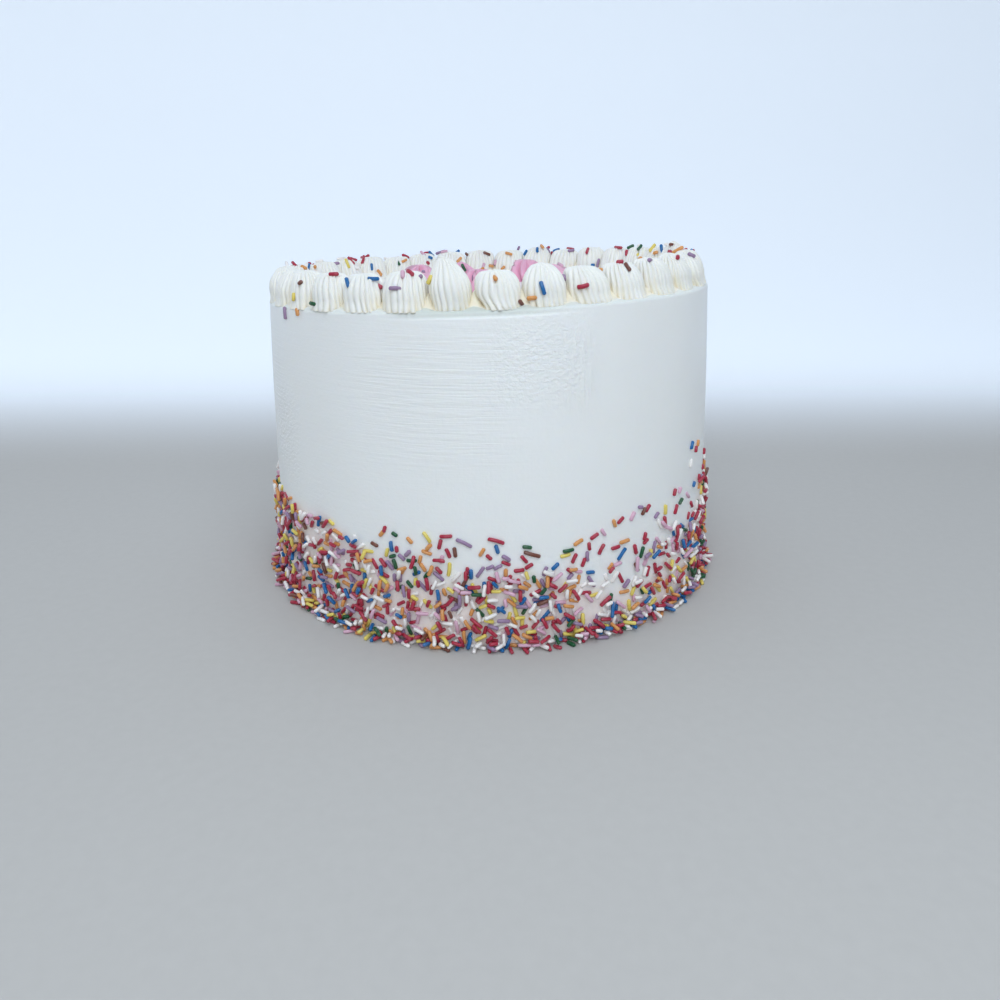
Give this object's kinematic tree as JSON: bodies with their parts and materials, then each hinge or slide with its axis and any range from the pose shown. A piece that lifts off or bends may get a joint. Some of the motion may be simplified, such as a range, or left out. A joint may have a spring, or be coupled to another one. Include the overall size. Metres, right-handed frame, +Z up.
{
  "type": "birthday cake",
  "caption": "Round uncut cake with a smooth white buttercream coat, rainbow sprinkles round its lower wall, a ring of white piped dollops on its top edge and small pink ones inside it.",
  "frame": {"origin": "middle of the flat underside, where the cake stands on its board", "axes": "+Z up through the top, -Y the front that is seen first, +X the viewer's right, the side where the top is a little higher"},
  "size_m": [0.167, 0.1664, 0.1157],
  "materials": {
    "buttercream": "smooth scraped buttercream with a soft sheen",
    "piped_buttercream": "piped buttercream, ivory in its grooves, soft sheen",
    "pink_buttercream": "piped pink buttercream, soft sheen"
  },
  "bodies": {
    "root": {"cake": "buttercream", "dollop_01": "piped_buttercream", "dollop_02": "piped_buttercream", "dollop_03": "piped_buttercream", "dollop_04": "piped_buttercream", "dollop_05": "piped_buttercream", "dollop_06": "piped_buttercream", "dollop_07": "piped_buttercream", "dollop_08": "piped_buttercream", "dollop_09": "piped_buttercream", "dollop_10": "piped_buttercream", "dollop_11": "piped_buttercream", "dollop_12": "piped_buttercream", "dollop_13": "piped_buttercream", "dollop_14": "piped_buttercream", "dollop_15": "piped_buttercream", "dollop_16": "piped_buttercream", "dollop_17": "piped_buttercream", "dollop_18": "piped_buttercream", "dollop_19": "piped_buttercream", "dollop_20": "piped_buttercream", "dollop_21": "piped_buttercream", "dollop_22": "piped_buttercream", "dollop_23": "piped_buttercream", "dollop_24": "piped_buttercream", "dollop_25": "piped_buttercream", "dollop_26": "piped_buttercream", "dollop_27": "piped_buttercream", "dollop_28": "piped_buttercream", "dollop_29": "piped_buttercream", "dollop_30": "piped_buttercream", "dollop_31": "piped_buttercream", "dollop_32": "piped_buttercream", "dollop_33": "piped_buttercream", "dollop_34": "piped_buttercream", "pink_dollop_1": "pink_buttercream", "pink_dollop_2": "pink_buttercream", "pink_dollop_3": "pink_buttercream", "pink_dollop_4": "pink_buttercream", "pink_dollop_5": "pink_buttercream", "pink_dollop_6": "pink_buttercream", "pink_dollop_7": "pink_buttercream", "pink_dollop_8": "pink_buttercream", "pink_dollop_9": "pink_buttercream"}
  },
  "joints": []
}
